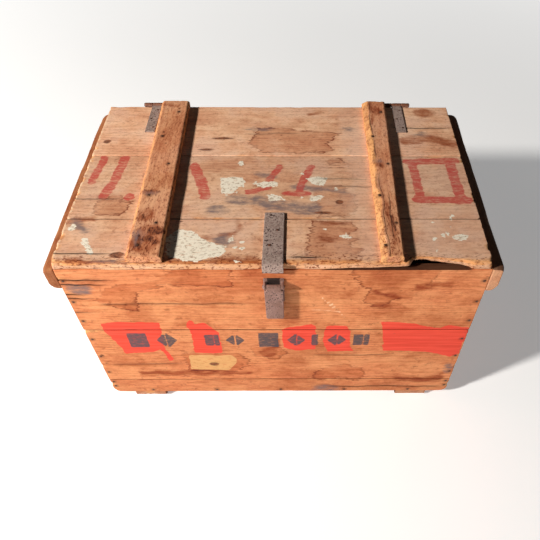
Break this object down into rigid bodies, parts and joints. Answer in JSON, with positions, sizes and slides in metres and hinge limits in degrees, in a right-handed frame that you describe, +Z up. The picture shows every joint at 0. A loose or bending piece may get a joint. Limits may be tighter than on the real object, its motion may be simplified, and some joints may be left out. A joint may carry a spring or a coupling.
{
  "type": "shipping crate",
  "caption": "Old nailed wooden shipping crate on runners, with a hinged board lid held by battens, end cleats as hand-holds and an iron hasp with a drop flap.",
  "frame": {"origin": "centre of the overall footprint, on the ground under the runners", "axes": "+X to the right seen from the front, -Y towards the front with the hasp, +Z up"},
  "size_m": [1.0148, 0.6315, 0.5934],
  "materials": {
    "body_wood": "bare softwood, worn and stained, orange-brown, matt",
    "lid_wood": "bare softwood, greyed and dirty, matt",
    "old_iron": "pitted wrought iron, dark grey-brown, matt",
    "nail_iron": "rusted nail heads, dark brown, matt"
  },
  "bodies": {
    "crate": {"front_board_lower": "body_wood", "front_board_middle": "body_wood", "front_board_upper": "body_wood", "back_board_lower": "body_wood", "back_board_middle": "body_wood", "back_board_upper": "body_wood", "left_end_board_lower": "body_wood", "left_end_board_middle": "body_wood", "left_end_board_upper": "body_wood", "right_end_board_lower": "body_wood", "right_end_board_middle": "body_wood", "right_end_board_upper": "body_wood", "floor_board_1": "body_wood", "floor_board_2": "body_wood", "floor_board_3": "body_wood", "floor_board_4": "body_wood", "left_runner": "body_wood", "right_runner": "body_wood", "left_end_cleat": "body_wood", "right_end_cleat": "body_wood", "left_hinge_plate": "old_iron", "left_hinge_pin": "old_iron", "right_hinge_plate": "old_iron", "right_hinge_pin": "old_iron", "hasp_base": "old_iron", "hasp_pin": "old_iron", "front_nails": "nail_iron", "back_nails": "nail_iron", "end_nails": "nail_iron", "runner_nails": "nail_iron", "cleat_nails": "nail_iron", "hinge_plate_nails": "nail_iron", "hasp_base_nails": "nail_iron"},
    "lid": {"lid_board_front": "lid_wood", "lid_board_middle": "lid_wood", "lid_board_back": "lid_wood", "left_lid_batten": "lid_wood", "right_lid_batten": "lid_wood", "left_hinge_strap": "old_iron", "right_hinge_strap": "old_iron", "hasp_strap": "old_iron", "batten_nails": "nail_iron", "hinge_strap_nails": "nail_iron", "hasp_strap_nails": "nail_iron"},
    "hasp_flap": {"hasp_flap": "old_iron"}
  },
  "joints": [
    {"name": "lid_hinge", "type": "hinge", "parent": "crate", "child": "lid", "pos_m": [0, 0.31025, 0.5745], "axis": [-1, 0, 0], "range_deg": [0, 110]},
    {"name": "flap_swing", "type": "hinge", "parent": "crate", "child": "hasp_flap", "pos_m": [-0.002, -0.30925, 0.51], "axis": [-1, 0, 0], "range_deg": [0, 165]}
  ]
}
